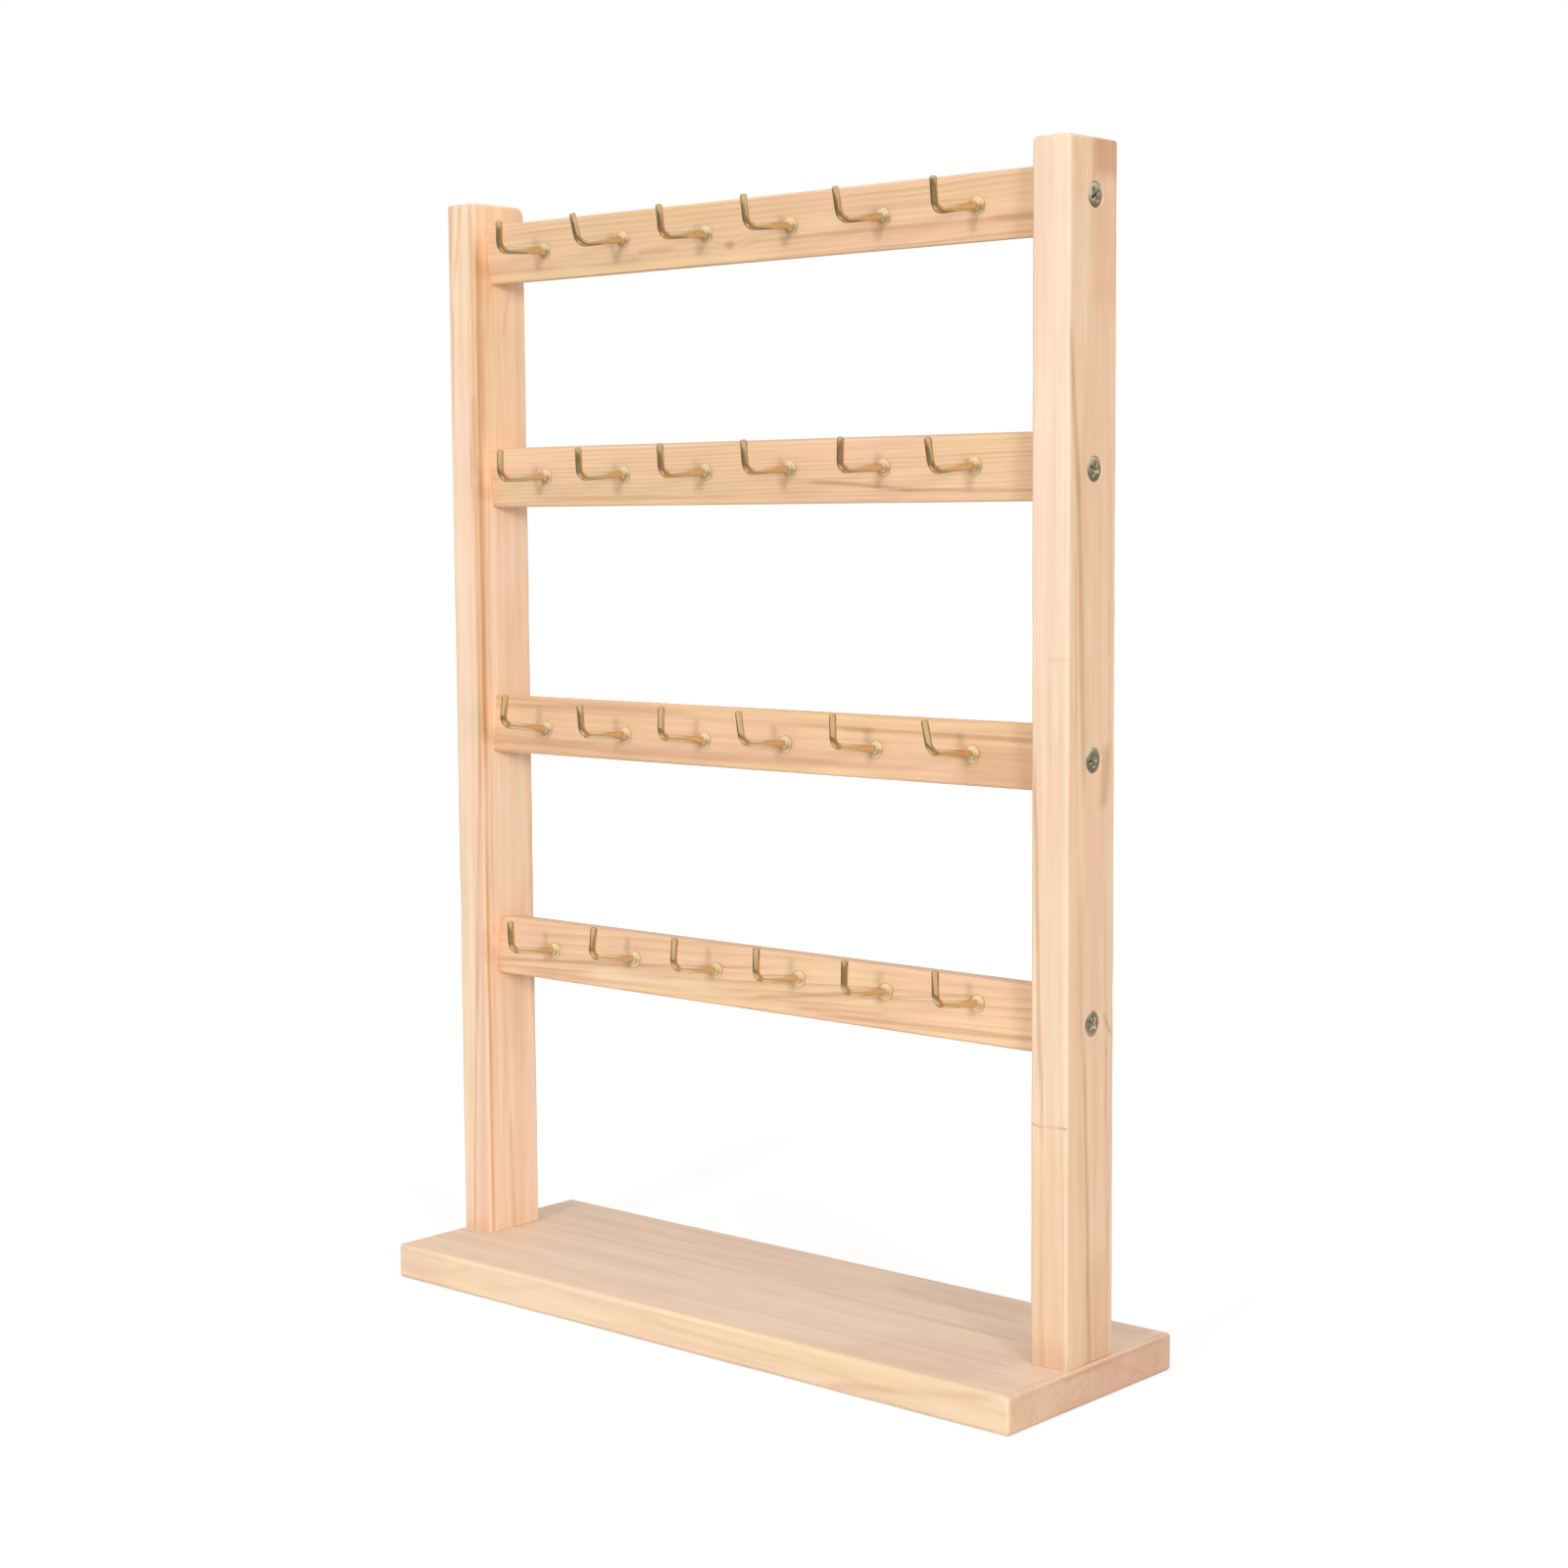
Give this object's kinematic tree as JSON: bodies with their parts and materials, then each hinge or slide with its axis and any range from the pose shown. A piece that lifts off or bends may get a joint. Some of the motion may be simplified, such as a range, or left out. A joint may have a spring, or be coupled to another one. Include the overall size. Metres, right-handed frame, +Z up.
{
  "type": "jewellery hook stand",
  "caption": "Freestanding wooden stand: a flat base board, posts with cross rails between them, and rows of brass screw hooks for hanging necklaces and bracelets.",
  "frame": {"origin": "middle of the base board's underside", "axes": "+X along the rails to the right, the hooks face -Y, +Z up"},
  "size_m": [0.3, 0.095, 0.42],
  "materials": {
    "pine": "bare planed softwood",
    "brass": "brass-plated wire, slightly dulled",
    "zinc": "zinc-plated steel"
  },
  "bodies": {
    "root": {"base_board": "pine", "left_post": "pine", "right_post": "pine", "top_rail": "pine", "top_rail_hook_1": "brass", "top_rail_hook_2": "brass", "top_rail_hook_3": "brass", "top_rail_hook_4": "brass", "top_rail_hook_5": "brass", "top_rail_hook_6": "brass", "top_rail_left_screw": "zinc", "top_rail_right_screw": "zinc", "upper_rail": "pine", "upper_rail_hook_1": "brass", "upper_rail_hook_2": "brass", "upper_rail_hook_3": "brass", "upper_rail_hook_4": "brass", "upper_rail_hook_5": "brass", "upper_rail_hook_6": "brass", "upper_rail_left_screw": "zinc", "upper_rail_right_screw": "zinc", "lower_rail": "pine", "lower_rail_hook_1": "brass", "lower_rail_hook_2": "brass", "lower_rail_hook_3": "brass", "lower_rail_hook_4": "brass", "lower_rail_hook_5": "brass", "lower_rail_hook_6": "brass", "lower_rail_left_screw": "zinc", "lower_rail_right_screw": "zinc", "bottom_rail": "pine", "bottom_rail_hook_1": "brass", "bottom_rail_hook_2": "brass", "bottom_rail_hook_3": "brass", "bottom_rail_hook_4": "brass", "bottom_rail_hook_5": "brass", "bottom_rail_hook_6": "brass", "bottom_rail_left_screw": "zinc", "bottom_rail_right_screw": "zinc", "left_post_front_screw": "zinc", "left_post_back_screw": "zinc", "right_post_front_screw": "zinc", "right_post_back_screw": "zinc"}
  },
  "joints": []
}
